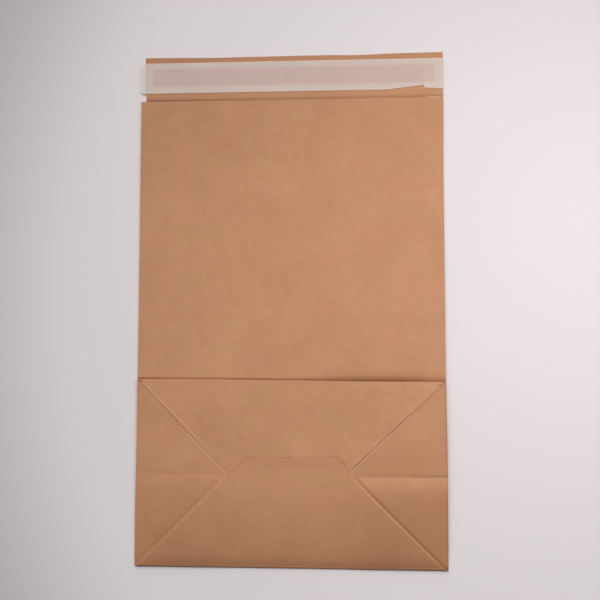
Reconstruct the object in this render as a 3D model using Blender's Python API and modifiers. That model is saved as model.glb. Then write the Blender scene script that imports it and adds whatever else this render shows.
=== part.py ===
"""Flat-folded kraft paper mailer with side gussets, a block bottom and a closing lip.

The mailer lies on its back panel. X runs across it, Y from the bottom fold to the lip, Z up through the
layers, and the origin is below the middle of its outline. One sheet makes the whole bag: each panel lies
on its own level of the stack, and each crease is a half turn of paper between two levels.
"""

import math

import bmesh
import bpy
from mathutils import Vector

MM = 0.001

# The bag, folded flat
WIDTH = 304.4 * MM  # crease to crease across the front panel
BODY_LENGTH = 462 * MM  # bottom crease to the front panel's top edge
LIP_LENGTH = 46 * MM  # closing lip, beyond the front panel
GUSSET_DEPTH = 180.5 * MM  # one gusset opened out, which is the block bottom's depth too
FLAP_LAP = 28 * MM  # the lower bottom flap over the upper one
SEAM_FLAP_WIDTH = 19 * MM  # glue flap inside the back panel, along its right edge
LIP_INSET_BASE = 4.7 * MM  # the lip's left edge, in from the side crease, at the front panel's top
LIP_INSET_END = 3.1 * MM  # and at the lip's free end

# Paper and glue
PAPER = 0.13 * MM
GLUE_FILM = 0.1 * MM
CLEARANCE = 0.25 * MM  # between a separate piece and the paper beside it
LAYER_PITCH = 0.3 * MM  # from one folded layer to the next, pressed flat
GLUE_MARGIN = 3 * MM  # glue line, in from the edges of its lap

# Closure strip on the lip
LINER_WIDTH = 31.2 * MM
LINER_THICKNESS = 0.09 * MM
LINER_TAIL = 2 * MM  # past the left side crease, so that it sticks out beyond the lip's inset edge
LINER_OVERHANG = 0.4 * MM  # past the right side crease
LINER_TOP_MARGIN = 5.3 * MM  # below the lip's free end
ADHESIVE_WIDTH = 18.5 * MM
ADHESIVE_THICKNESS = 0.12 * MM
ADHESIVE_LEFT_MARGIN = 13.2 * MM  # bare liner at the left end of the adhesive
ADHESIVE_RIGHT_MARGIN = 8.6 * MM  # and at its right end
ADHESIVE_TOP_MARGIN = 6 * MM  # bare liner above the adhesive
STEP_RUN = 5 * MM  # over which the strip climbs on to the seam flap

# Tear in the liner's lower edge, which ends where the liner climbs on to the seam flap
TEAR_LENGTH = 36 * MM
TEAR_HEIGHT = 4 * MM

# Slack between the layers: how the springy folds lift the stack
SLACK_RISE = 112 * MM  # from the bottom fold to where the stack has risen
SIDE_RISE = 42 * MM  # from a side fold to where the stack has risen
SIDE_SLACK = 0.2  # share of the slack left at a side fold
TOP_SLACK = 0.2  # share of the slack left at the front panel's top edge
SKEW = 0.15  # the right side stands higher than the middle by this share, and the left lower

# Facets
MERGE = 0.002 * MM  # points nearer than this are one
FOLD_STEPS = 4  # round each crease's half turn
STRIP_STEPS = 4  # up the closure strip's climb
ROW_SHARES = (0.1, 0.2, 0.32, 0.46, 0.62, 0.8, 1)  # bend lines up the rise from the bottom fold
COLUMN_SHARES = (0.25, 0.58, 1)  # bend lines across the rise from a side fold

# Each layer of the stack, from the back panel up: the gap below it, the part of that gap which closes
# towards the bottom fold, where layers between have ended, and the slack below it
GLUED = PAPER + GLUE_FILM + 2 * CLEARANCE
TUCK_CLOSING = LAYER_PITCH * 4 / 5  # five gaps give up the room of four layers
FLAP_CLOSING = LAYER_PITCH * 2 / 3  # three gaps give up the room of two layers
LAYERS = (
    ("back", 0, 0, 0),
    ("seam_flap", GLUED, 0, 0),
    ("gusset_back", LAYER_PITCH, 0, 0.8 * MM),
    ("gusset_front", LAYER_PITCH, TUCK_CLOSING, 2.3 * MM),
    ("front", LAYER_PITCH, TUCK_CLOSING, 1.6 * MM),
    ("front_tuck", LAYER_PITCH, TUCK_CLOSING, 0.3 * MM),
    ("gusset_tuck", LAYER_PITCH, TUCK_CLOSING, 0.1 * MM),
    ("side_tuck", LAYER_PITCH, TUCK_CLOSING, 0.2 * MM),
    ("side_flap", LAYER_PITCH, 0, 0),
    ("upper_corner", LAYER_PITCH, FLAP_CLOSING, 0),
    ("upper_flap", LAYER_PITCH, FLAP_CLOSING, 0),
    ("lower_corner", GLUED / 2, FLAP_CLOSING, 0),
    ("lower_flap", GLUED / 2, 0, 0),
)

# Worked out from the sizes above
SIDE = WIDTH / 2
HALF_GUSSET = GUSSET_DEPTH / 2
FLAP_LENGTH = HALF_GUSSET + FLAP_LAP / 2
LIP_END = BODY_LENGTH + LIP_LENGTH
UPPER_FLAP_END = GUSSET_DEPTH - FLAP_LENGTH
SEAM_FLAP_EDGE = SIDE - SEAM_FLAP_WIDTH
CLIMB_END = SEAM_FLAP_EDGE - CLEARANCE
LEVEL = {}
SLACK_KNOTS = []
CLOSING_KNOTS = []
height = PAPER / 2
closing = 0
opened = 0
for layer_name, gap_below, closing_below, slack_below in LAYERS:
    height += gap_below
    closing += closing_below
    opened += slack_below
    LEVEL[layer_name] = height
    CLOSING_KNOTS.append((height, closing))
    SLACK_KNOTS.append((height, opened))
BOTTOM_BULGE = (LEVEL["lower_flap"] - LEVEL["back"]) / 2 + PAPER / 2
LINER_LEFT = -SIDE - LINER_TAIL
LINER_RIGHT = SIDE + LINER_OVERHANG
CENTRE = Vector(((LINER_LEFT + LINER_RIGHT) / 2, (LIP_END - BOTTOM_BULGE) / 2, 0))


def clear_scene():
    for old in list(bpy.data.objects):
        bpy.data.objects.remove(old, do_unlink=True)


def rounded(share):
    """0 to 1 as share goes from 0 to 1, levelling off as a bent sheet does."""
    return math.sin(share * math.pi / 2)


def bend_knots():
    """Bend lines across the bag and up it, and the shares of the stack at each. Between them it goes straight.

    Across, the share of the slack. Upward, the share of the slack, and the share of the gaps that close
    towards the bottom fold.
    """
    across = [(0, 1)]
    for side in (-1, 1):
        across.append((side * SIDE, SIDE_SLACK * (1 + SKEW * side)))
        for share in COLUMN_SHARES:
            x = side * (SIDE - share * SIDE_RISE)
            opened_share = SIDE_SLACK + (1 - SIDE_SLACK) * rounded(share)
            across.append((x, opened_share * (1 + SKEW * x / SIDE)))
    rows = [share * SLACK_RISE for share in ROW_SHARES] + [UPPER_FLAP_END]
    upward = [(0, 0)]
    upward += [(y, rounded(y / SLACK_RISE)) for y in rows]
    upward += [(GUSSET_DEPTH, 1), (BODY_LENGTH, TOP_SLACK)]
    filling = [(0, 0)]
    filling += [(y, rounded(min(y / UPPER_FLAP_END, 1))) for y in rows]
    return sorted(across), sorted(upward), sorted(filling)


def between(knots, place):
    """The value at a place on a line of straight runs through knots."""
    if place <= knots[0][0]:
        return knots[0][1]
    for (start, low), (end, high) in zip(knots, knots[1:]):
        if place <= end:
            return low + (high - low) * (place - start) / (end - start)
    return knots[-1][1]


def loosen(surface):
    """Bend a surface of the pressed stack along the bend lines: up by the slack, down where gaps close."""
    across, upward, filling = bend_knots()
    cut_across(surface, Vector((1, 0, 0)), [x for x, _ in across])
    cut_across(surface, Vector((0, 1, 0)), [y for y, _ in upward])
    for point in surface.verts:
        openness = between(across, point.co.x) * between(upward, point.co.y)
        closed = 1 - between(filling, point.co.y)
        lift = openness * between(SLACK_KNOTS, point.co.z)
        point.co.z += lift - closed * between(CLOSING_KNOTS, point.co.z)


def panel(sheet, layer, *corners):
    """One panel of the sheet, flat on its level."""
    sheet.faces.new([sheet.verts.new((x, y, LEVEL[layer])) for x, y in corners])


def crease(sheet, lower, upper, start, end, side=1):
    """The half turn of paper between two levels. It bulges to the left of the way from start to end.

    On the left side, side is -1 and the outline is mirrored, so the way is turned round.
    """
    if side < 0:
        start, end = end, start
    low, high = LEVEL[lower], LEVEL[upper]
    ends = [sheet.verts.new((x, y, low)) for x, y in (start, end)]
    edge = sheet.edges.new(ends)
    axis = Vector((end[0] - start[0], end[1] - start[1], 0)).normalized()
    bmesh.ops.spin(
        sheet,
        geom=ends + [edge],
        cent=(start[0], start[1], (low + high) / 2),
        axis=axis,
        angle=math.pi,
        steps=FOLD_STEPS,
    )


def fold_body(sheet):
    """Back panel with its lip, seam flap, front panel and the strip of the front tucked under the block."""
    lip_left = (-SIDE + LIP_INSET_BASE, BODY_LENGTH)
    lip_right = (SIDE, BODY_LENGTH)
    panel(sheet, "back", (-SIDE, 0), (SIDE, 0), lip_right, lip_left, (-SIDE, BODY_LENGTH))
    panel(sheet, "back", lip_left, lip_right, (SIDE, LIP_END), (-SIDE + LIP_INSET_END, LIP_END))
    seam_flap_ends = ((SEAM_FLAP_EDGE, LIP_END), (SEAM_FLAP_EDGE, 0))
    panel(sheet, "seam_flap", (SIDE, 0), lip_right, (SIDE, LIP_END), *seam_flap_ends)
    front = ((-SIDE, HALF_GUSSET), (SIDE, HALF_GUSSET))
    panel(sheet, "front", *front, lip_right, (-SIDE, BODY_LENGTH))
    panel(sheet, "front_tuck", *front, (SIDE, GUSSET_DEPTH), (-SIDE, GUSSET_DEPTH))
    crease(sheet, "front", "front_tuck", front[1], front[0])


def fold_gusset(sheet, side):
    """One gusset and its tucks under the block bottom. side is 1 on the right and -1 on the left."""
    outer = side * SIDE
    inner = side * (SIDE - HALF_GUSSET)
    foot = (outer, 0)
    waist = (outer, HALF_GUSSET)
    shoulder = (outer, GUSSET_DEPTH)
    top = (outer, BODY_LENGTH)
    apex = (inner, HALF_GUSSET)
    inner_top = (inner, BODY_LENGTH)

    panel(sheet, "gusset_back", foot, top, inner_top, apex)
    panel(sheet, "gusset_front", waist, top, inner_top, apex)
    panel(sheet, "gusset_tuck", shoulder, waist, apex)
    panel(sheet, "side_tuck", foot, shoulder, apex)

    crease(sheet, "seam_flap" if side > 0 else "back", "gusset_back", top, foot, side)
    crease(sheet, "gusset_back", "gusset_front", apex, inner_top, side)
    crease(sheet, "gusset_front", "front", top, waist, side)
    crease(sheet, "gusset_front", "gusset_tuck", waist, apex, side)
    crease(sheet, "gusset_back", "side_tuck", foot, apex, side)
    crease(sheet, "gusset_tuck", "side_tuck", apex, shoulder, side)
    crease(sheet, "front_tuck", "gusset_tuck", shoulder, waist, side)
    crease(sheet, "side_tuck", "side_flap", shoulder, foot, side)


def fold_side_flap(sheet, side):
    """One short bottom flap, and the two corners that the long flaps tuck over it."""
    outer = side * SIDE
    inner = side * (SIDE - FLAP_LENGTH)
    foot = (outer, 0)
    shoulder = (outer, GUSSET_DEPTH)
    inner_foot = (inner, 0)
    inner_shoulder = (inner, GUSSET_DEPTH)
    upper_tip = (inner, UPPER_FLAP_END)
    lower_tip = (inner, FLAP_LENGTH)

    panel(sheet, "side_flap", foot, shoulder, inner_shoulder, inner_foot)
    panel(sheet, "upper_corner", shoulder, inner_shoulder, upper_tip)
    panel(sheet, "lower_corner", foot, inner_foot, lower_tip)

    crease(sheet, "side_flap", "upper_corner", inner_shoulder, shoulder, side)
    crease(sheet, "upper_corner", "upper_flap", shoulder, upper_tip, side)
    crease(sheet, "side_flap", "lower_corner", foot, inner_foot, side)
    crease(sheet, "lower_corner", "lower_flap", lower_tip, foot, side)


def fold_long_flaps(sheet):
    """The two long bottom flaps: the upper one from the front panel, the lower one from the back."""
    tip = SIDE - FLAP_LENGTH
    shoulders = ((-SIDE, GUSSET_DEPTH), (SIDE, GUSSET_DEPTH))
    feet = ((-SIDE, 0), (SIDE, 0))
    panel(sheet, "upper_flap", *shoulders, (tip, UPPER_FLAP_END), (-tip, UPPER_FLAP_END))
    panel(sheet, "lower_flap", *feet, (tip, FLAP_LENGTH), (-tip, FLAP_LENGTH))
    crease(sheet, "front_tuck", "upper_flap", *shoulders)
    crease(sheet, "back", "lower_flap", feet[1], feet[0])


def cut_across(surface, normal, places):
    """Edges across a surface at the given places along normal, so that it can bend there."""
    for place in places:
        bmesh.ops.bisect_plane(
            surface,
            geom=surface.verts[:] + surface.edges[:] + surface.faces[:],
            dist=MERGE,
            plane_co=normal * place,
            plane_no=normal,
        )


def skin(name, surface, thickness, material, collection):
    """An object from an open surface, given its thickness by Solidify."""
    bmesh.ops.recalc_face_normals(surface, faces=surface.faces[:])
    bmesh.ops.triangulate(surface, faces=surface.faces[:])
    bmesh.ops.translate(surface, vec=-CENTRE, verts=surface.verts[:])
    mesh = bpy.data.meshes.new(name)
    surface.to_mesh(mesh)
    surface.free()
    mesh.materials.append(material)
    made = bpy.data.objects.new(name, mesh)
    collection.objects.link(made)
    solidify = made.modifiers.new("thickness", "SOLIDIFY")
    solidify.thickness = thickness
    solidify.offset = 0
    return made


def make_paper_bag(collection, material):
    sheet = bmesh.new()
    fold_body(sheet)
    for side in (1, -1):
        fold_gusset(sheet, side)
        fold_side_flap(sheet, side)
    fold_long_flaps(sheet)
    bmesh.ops.remove_doubles(sheet, verts=sheet.verts[:], dist=MERGE)
    loosen(sheet)
    return skin("paper_bag", sheet, PAPER, material, collection)


def flat_surface(outline, z):
    """One flat face at a height, from the corners of its outline."""
    surface = bmesh.new()
    surface.faces.new([surface.verts.new((x, y, z)) for x, y in outline])
    return surface


def lip_surface(x):
    """Height of the lip's inner face, which climbs from the back panel on to the seam flap."""
    share = min(max((x - CLIMB_END + STEP_RUN) / STEP_RUN, 0), 1)
    low = LEVEL["back"] + PAPER / 2
    high = LEVEL["seam_flap"] + PAPER / 2
    return low + (high - low) * share * share * (3 - 2 * share)


def strip(outline, lift):
    """A flat strip laid over the lip, lift above its inner face."""
    surface = flat_surface(outline, 0)
    steps = [CLIMB_END - STEP_RUN * step / STRIP_STEPS for step in range(STRIP_STEPS + 1)]
    cut_across(surface, Vector((1, 0, 0)), steps)
    for point in surface.verts:
        point.co.z = lip_surface(point.co.x) + lift
    return surface


def make_closure_adhesive(collection, material):
    left = LINER_LEFT + ADHESIVE_LEFT_MARGIN
    right = LINER_RIGHT - ADHESIVE_RIGHT_MARGIN
    top = LIP_END - LINER_TOP_MARGIN - ADHESIVE_TOP_MARGIN
    bottom = top - ADHESIVE_WIDTH
    outline = ((left, bottom), (right, bottom), (right, top), (left, top))
    surface = strip(outline, CLEARANCE + ADHESIVE_THICKNESS / 2)
    return skin("closure_adhesive", surface, ADHESIVE_THICKNESS, material, collection)


def make_release_liner(collection, material):
    top = LIP_END - LINER_TOP_MARGIN
    bottom = top - LINER_WIDTH
    tear_right = SEAM_FLAP_EDGE
    tear_left = tear_right - TEAR_LENGTH
    outline = (
        (LINER_LEFT, bottom),
        (tear_left, bottom),
        (tear_right, bottom + TEAR_HEIGHT),
        (tear_right, bottom),
        (LINER_RIGHT, bottom),
        (LINER_RIGHT, top),
        (LINER_LEFT, top),
    )
    lift = 2 * CLEARANCE + ADHESIVE_THICKNESS + LINER_THICKNESS / 2
    surface = strip(outline, lift)
    return skin("release_liner", surface, LINER_THICKNESS, material, collection)


def glue_line(name, left, right, bottom, top, z, material, collection):
    """A thin film of glue inside a lap."""
    surface = flat_surface(((left, bottom), (right, bottom), (right, top), (left, top)), z)
    loosen(surface)
    return skin(name, surface, GLUE_FILM, material, collection)


def make_side_seam_glue(collection, material):
    z = (LEVEL["back"] + LEVEL["seam_flap"]) / 2
    left = SEAM_FLAP_EDGE + GLUE_MARGIN
    right = SIDE - GLUE_MARGIN
    return glue_line(
        "side_seam_glue", left, right, GLUE_MARGIN, LIP_END - GLUE_MARGIN, z, material, collection
    )


def make_bottom_glue(collection, material):
    z = (LEVEL["upper_flap"] + LEVEL["lower_flap"]) / 2
    reach = SIDE - FLAP_LENGTH - GLUE_MARGIN
    bottom = UPPER_FLAP_END + GLUE_MARGIN
    top = FLAP_LENGTH - GLUE_MARGIN
    return glue_line("bottom_glue", -reach, reach, bottom, top, z, material, collection)


def principled(name, colour, roughness, transmission=0.0):
    material = bpy.data.materials.new(name)
    material.use_nodes = True
    shader = material.node_tree.nodes["Principled BSDF"]
    shader.inputs["Base Color"].default_value = (*colour, 1)
    shader.inputs["Roughness"].default_value = roughness
    shader.inputs["Metallic"].default_value = 0
    shader.inputs["Transmission Weight"].default_value = transmission
    return material


def main():
    clear_scene()
    mailer = bpy.data.collections.new("paper_mailer")
    bpy.context.scene.collection.children.link(mailer)
    make_paper_bag(mailer, principled("kraft_paper", (0.50, 0.25, 0.13), 0.85))
    make_closure_adhesive(mailer, principled("adhesive", (0.75, 0.62, 0.50), 0.3, 0.4))
    make_release_liner(mailer, principled("glassine", (0.72, 0.66, 0.60), 0.45, 0.3))
    make_side_seam_glue(mailer, principled("seam_glue", (0.80, 0.72, 0.55), 0.4))
    make_bottom_glue(mailer, principled("bottom_paste", (0.82, 0.76, 0.62), 0.5))


main()
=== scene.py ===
"""The looks of the flat-folded kraft mailer: its paper, closure strip and glue, lit on a pale floor.

The paper is folded here again, from the same panels and creases as its solid, in a finer mesh. Places are
worked out as in the part: X across the bag, Y up from its bottom crease, and a level of the stack instead
of a height. The heights of the levels then vary with the place, so that the bag isn't pressed all flat.
"""

import math

import bmesh
import bpy
import numpy as np
from mathutils import Euler, Matrix, Vector


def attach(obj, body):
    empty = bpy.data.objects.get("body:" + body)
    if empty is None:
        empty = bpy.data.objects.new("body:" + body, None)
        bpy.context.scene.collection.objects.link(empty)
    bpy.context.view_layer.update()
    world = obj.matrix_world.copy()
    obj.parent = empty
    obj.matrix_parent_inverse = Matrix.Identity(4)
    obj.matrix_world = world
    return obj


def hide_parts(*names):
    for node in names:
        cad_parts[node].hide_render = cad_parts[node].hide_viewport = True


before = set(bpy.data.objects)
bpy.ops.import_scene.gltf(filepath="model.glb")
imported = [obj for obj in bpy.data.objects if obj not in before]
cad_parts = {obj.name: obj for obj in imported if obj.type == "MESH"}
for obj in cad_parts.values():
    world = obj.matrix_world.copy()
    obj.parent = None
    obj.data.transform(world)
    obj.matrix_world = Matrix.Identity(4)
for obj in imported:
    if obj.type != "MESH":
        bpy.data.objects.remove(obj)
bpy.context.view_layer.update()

MM = 0.001

# The bag, folded flat
WIDTH = 304.4 * MM
BODY_LENGTH = 462 * MM
LIP_LENGTH = 46 * MM
GUSSET_DEPTH = 180.5 * MM
FLAP_LAP = 28 * MM  # the lower bottom flap over the upper one
SEAM_FLAP_WIDTH = 19 * MM
LIP_INSET_BASE = 4.7 * MM  # the lip's left edge, in from the side crease, at the front panel's top
LIP_INSET_END = 3.1 * MM  # and at the lip's free end
PAPER = 0.13 * MM
PITCH = 0.2 * MM  # from one pressed layer to the next

# Closure strip on the lip
LINER_WIDTH = 31.2 * MM
LINER_THICKNESS = 0.08 * MM
LINER_TAIL = 2 * MM  # past the left side crease
LINER_OVERHANG = 0.4 * MM  # past the right side crease
LINER_TOP_MARGIN = 6 * MM  # below the lip's free end
LINER_CORNER = 3.5 * MM  # rounding of the tail's corners
ADHESIVE_WIDTH = 18.5 * MM
ADHESIVE_THICKNESS = 0.08 * MM
ADHESIVE_LEFT_MARGIN = 13.2 * MM  # bare liner at the left end of the adhesive
ADHESIVE_RIGHT_MARGIN = 8.6 * MM  # and at its right end
ADHESIVE_TOP_MARGIN = 6 * MM  # and above it
CLEARANCE = 0.03 * MM  # between the lip, the adhesive and the liner
STEP_RUN = 5 * MM  # over which the strip climbs on to the seam flap
TEAR_LENGTH = 36 * MM  # of the tear in the liner's lower edge
TEAR_HEIGHT = 4 * MM

# How the springy folds lift the stack
SLACK_RISE = 80 * MM  # from the bottom fold to where the stack has risen
FOOT_RISE = 14 * MM
FOOT_SHARE = 0.16  # of the slack that opens close to the bottom fold, over the foot's rise
SIDE_RISE = 42 * MM  # from a side fold to where the stack has risen
LEFT_SLACK = 0.16  # share of the slack left at the left side fold
RIGHT_SLACK = 0.3  # and at the right one
SKEW = 0.15  # the right side stands higher than the middle by this share, and the left lower
UNEVENNESS = 0.04  # of the slack, over the whole bag
THINNEST_GAP = 0.3 * PITCH  # from one layer to the next
LIP_RISE = 0.5 * MM  # of the lip from its crease at the mouth
LIP_RISE_RUN = 3 * MM
RIGHT_EDGE_RISE = 0.3 * MM  # of the bag's right edge off the floor
RIGHT_EDGE_BAND = 60 * MM  # in from that edge to where the bag lies on the floor
RIGHT_EDGE_RUN = (0, 120 * MM, 300 * MM, 440 * MM)  # up the bag: it begins, is whole, wanes and ends
FOLD_REACH = 50 * MM  # how far from the block's top fold its spring falls to a third
TUCK_SHARE = 0.4  # of that spring, below the gussets' tucks. The rest is below the side flaps.
DIP_REACH = 1.6 * MM  # how far in front of the top fold the front panel dips
DIP_FURTHER = 3.4 * MM  # and how much further on the right
UPPER_SPRING = 0.03 * MM  # how far each upper diagonal fold stands off the layer below
LOWER_SPRING = 0.05 * MM  # and each lower one
DIAGONAL_REACH = 9 * MM
DIAGONAL_RISE = 18 * MM  # out from a flap's tip to where its diagonal fold has its whole spring
CUT_EDGE_SPRING = 0.25 * MM  # of the lower flap's cut edge
CUT_EDGE_REACH = 6 * MM
CREASE_RIDGE = 0.5 * MM  # of the side flaps beside their middle crease
LEFT_RIDGE = 0.3  # share of it that the left one has
RIDGE_RUN = 7 * MM  # from the crease to the ridge
RIDGE_REACH = 30 * MM  # how far from the crease the ridge falls to a third
RIDGE_RISE = 14 * MM  # out from the gusset's inner fold to where the ridge is whole

# How the folds and edges lie off their true lines
CREASE_DROPS = (1 * MM, 2.3 * MM)  # of the side flaps' creases, below half the block's depth, left and right
APEX_SHIFTS = ((0.5 * MM, 0.5 * MM), (-3.2 * MM, 1.8 * MM))  # right and up, of the left and right apex
SHADOW_SHIFTS = (0.7 * MM, 3.5 * MM)  # how far inwards those take the upper diagonals' shadows
APEX_FADE = 20 * MM  # from the bottom fold and the block's top fold to where the apex shifts are whole
CUT_SHORT = 1 * MM  # how far the lower flap's cut edge falls short
CUT_REACH = 25 * MM
FOOT_SPREAD = 0.7 * MM  # of the bag's left edge, outwards
FOOT_SPREAD_END = 150 * MM
WAIST_DRAW = 0.7 * MM  # of the bag's right edge, inwards
WAIST = (120 * MM, 180 * MM, 380 * MM, 460 * MM)  # up the bag: it begins, is whole, wanes and ends
EDGE_BAND = 40 * MM  # in from an edge, over which its spread or draw fades
FRONT_EDGE_REACH = 40 * MM  # below the front panel's edge, over which its shortness fades
LIP_EDGE_REACH = 5 * MM  # and below the lip's
SLANT_REACH = 60 * MM  # how far from the top fold its slant fades away
BOTTOM_FOLD_REACH = 1.3 * MM  # of the bottom fold's bulge below its crease

# How far the diagonal folds lie inside their true lines: places up the bag, and how far there on the left
# and on the right
INWARD = {
    "upper_flap": ((90 * MM, 180 * MM), (0.4 * MM, 1.6 * MM), (1.4 * MM, 2.8 * MM)),
    "lower_flap": (
        (0, 80 * MM, 92 * MM, 104 * MM),
        (2.8 * MM, 2.6 * MM, 1.5 * MM, 0.5 * MM),
        (3.2 * MM, 3.2 * MM, 1.1 * MM, -3.6 * MM),
    ),
}
INWARD_REACH = 60 * MM  # how far inside a fold its flap is still shifted
INWARD_START = (40 * MM, 20 * MM)  # how far below a flap's first place the shift begins and is whole

# Across the bag, from the left edge to the right: place, share of the slack left at the mouth, how far the
# block's top fold springs open, how far the front panel dips in front of it, how much painted shade darkens
# the paper in front of that fold and past the front panel's top edge, how far the fold lies below the level
# line, and how far the lip's edge and the front panel's fall short
MOUTH, SPRING, DIP, FOLD_DULL, MOUTH_DULL, SLANT, LIP_SHORT, FRONT_SHORT = range(1, 9)
ACROSS = (
    (-152 * MM, 0.30, 0.9 * MM, 0.6 * MM, 0.52, 0.34, 0.2 * MM, 0, 0),
    (-128 * MM, 0.30, 0.7 * MM, 0.6 * MM, 0.44, 0.30, 0, 0.3 * MM, 0.1 * MM),
    (-100 * MM, 0.24, 0.4 * MM, 0.4 * MM, 0.50, 0.22, 0, 0.8 * MM, 0.5 * MM),
    (-75 * MM, 0.18, 0.5 * MM, 0.5 * MM, 0.50, 0.18, 0.1 * MM, 1.1 * MM, 0.8 * MM),
    (-50 * MM, 0.12, 0.6 * MM, 0.6 * MM, 0.54, 0.10, 0.3 * MM, 0.9 * MM, 0.8 * MM),
    (0, 0.04, 0.8 * MM, 0.6 * MM, 0.56, 0, 0.7 * MM, 0.75 * MM, 1 * MM),
    (40 * MM, 0.09, 0.9 * MM, 0.9 * MM, 0.54, 0.02, 1.3 * MM, 0.6 * MM, 1.1 * MM),
    (60 * MM, 0.10, 1 * MM, 1.3 * MM, 0.50, 0.05, 1.7 * MM, 1.3 * MM, 0.9 * MM),
    (80 * MM, 0.11, 1.1 * MM, 1.7 * MM, 0.50, 0.07, 2 * MM, 0.9 * MM, 0.6 * MM),
    (105 * MM, 0.10, 1.1 * MM, 1.6 * MM, 0.50, 0.08, 2 * MM, 0.2 * MM, 0.4 * MM),
    (130 * MM, 0.08, 0.8 * MM, 1 * MM, 0.42, 0.08, 2 * MM, 0, 0.3 * MM),
    (152 * MM, 0.08, 0.5 * MM, 0.3 * MM, 0.30, 0.08, 2 * MM, 0, 0.2 * MM),
)

# Facets
GRID = 7 * MM
CLOSE_GAPS = (0.6 * MM, 1.3 * MM, 2.2 * MM, 3.3 * MM, 4.6 * MM)  # of the extra cuts on both sides of a fold
DIAGONAL_GAPS = (-4.5 * MM, -3 * MM, -1.6 * MM, -0.7 * MM, 0.7 * MM, 1.6 * MM, 3 * MM)  # and past a diagonal
FOLD_STEPS = 8
SHARP_ANGLE = 40  # degrees between two facets, from which their edge stays sharp
MERGE = 0.002 * MM
GLUE_MARGIN = 3 * MM  # glue line, in from the edges of its lap
GLUE_FILM = 0.03 * MM

# Each layer of the stack from the back panel up: the shares of the gap below it that close at the bottom
# fold and between the gussets, and the slack below it
LAYERS = (
    ("back", 0, 0, 0),
    ("seam_flap", 0, 0, 0),
    ("gusset_back", 0, 2 / 3, 0.8 * MM),
    ("gusset_front", 0.8, 2 / 3, 2.1 * MM),
    ("front", 0.8, 2 / 3, 1.6 * MM),
    ("front_tuck", 0.8, 0, 0.3 * MM),
    ("gusset_tuck", 0.8, 0.8, 0.1 * MM),
    ("side_tuck", 0.8, 0.8, 0.2 * MM),
    ("side_flap", 0, 0.8, 0),
    ("upper_corner", 2 / 3, 0.8, 0),
    ("upper_flap", 2 / 3, 0.8, 0),
    ("lower_corner", 2 / 3, 0.5, 0),
    ("lower_flap", 0, 0, 0),
)
LEVEL = {layer[0]: index for index, layer in enumerate(LAYERS)}

# Looks
KRAFT = (0.54, 0.258, 0.131)  # plain, between its folds
LAYERS_APART = 30  # stretch of the pattern's third way, which gives each layer its own pattern
BLOCK_EDGE_DULL = 0.16  # painted shade: how much duller the sheet is along the block's right edge, turned from the light
CUT_DULL = 0.16  # painted shadow in front of the lower flap's cut edge
FOOT_DULL = 0.14  # painted shade at the bottom fold, where it turns down from the light
LIP_DULL = 0.07  # on the lip above the liner
TOP_FOLD_DULL = 0.26  # painted shade in the block's top fold
TOP_FOLD_CLEARER = 0.08  # how much less that is on the right
TOP_FRONT_DULL = 0.14  # painted shade on the front panel above it, on the right
TOP_FOLD_HIGHLIGHT = 0.05  # painted highlight: how much lighter the flap is beside it, on the right
BLOCK_TOP_LIGHT = 0.03  # and painted light all along the block's top
ABOVE_BLOCK_LIGHT = 0.05  # on the front panel above the block, on the left
ABOVE_CUT_LIGHT = 0.06  # on the upper flap beside the lower one's cut edge
BELOW_CREASE_DULL = 0.06  # how much duller on the side flaps below their creases
FOOT_DARKER = 0.06  # share of lightness lost at the foot, as painted shade
MOUTH_DARKER = 0.08  # and at the mouth, also painted shade
CORNER_DARKER = 0.05  # and at the lower right corner, also painted shade
DARK_SPECK = 0.22  # how much darker the dark specks of the kraft are
PALE_SPECK = 0.15  # and how much lighter the pale ones
LINER_OPACITY = 0.65
FLOOR_SIZE = 4
FLOOR_MIDDLE = 0.12  # of the floor's painted pool of light, to the right of the bag's middle
FLOOR_EVEN = (0.32, 1.03)  # distance from there to which it is even, and its lightness there
FLOOR_FADED = (0.52, 0.66)  # distance from which it is in painted shade, and how light then

# Camera and lamps, with angles in degrees
LENS = 51  # millimetres
SENSOR_WIDTH = 36
CAMERA_PLACE = (0.0613, -0.0535, 0.8396)
CAMERA_TURN = (-4.09, -3.48, 0.18)  # from the world to the camera's view, about X, Y and Z
WINDOW_AZIMUTH = -9  # from straight up the bag, turning to its right
WINDOW_ELEVATION = 28
WINDOW_SPREAD = 60
WINDOW_STRENGTH = 4.05
SIDE_LAMP_PLACE = (0.35, 0.1, 0.45)
SIDE_LAMP_SIZE = 0.3
SIDE_LAMP_POWER = 1.09
ROOM_STRENGTH = 0.08  # of the light from all round

# Worked out from the sizes above
SIDE = WIDTH / 2
HALF_GUSSET = GUSSET_DEPTH / 2
GUSSET_EDGE = SIDE - HALF_GUSSET
PAST_APEX = GUSSET_EDGE + 8 * MM
FLAP_LENGTH = HALF_GUSSET + FLAP_LAP / 2
FLAP_TIP = SIDE - FLAP_LENGTH
LIP_END = BODY_LENGTH + LIP_LENGTH
UPPER_FLAP_END = GUSSET_DEPTH - FLAP_LENGTH
SEAM_FLAP_EDGE = SIDE - SEAM_FLAP_WIDTH
LINER_LEFT = -SIDE - LINER_TAIL
LINER_RIGHT = SIDE + LINER_OVERHANG
LINER_TOP = LIP_END - LINER_TOP_MARGIN
LINER_BOTTOM = LINER_TOP - LINER_WIDTH
ADHESIVE_LEFT = LINER_LEFT + ADHESIVE_LEFT_MARGIN
ADHESIVE_RIGHT = LINER_RIGHT - ADHESIVE_RIGHT_MARGIN
ADHESIVE_TOP = LINER_TOP - ADHESIVE_TOP_MARGIN
ADHESIVE_BOTTOM = ADHESIVE_TOP - ADHESIVE_WIDTH
CENTRE = Vector((-0.8, 252.93, 0)) * MM  # the part's origin, in the sheet's coordinates
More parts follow.
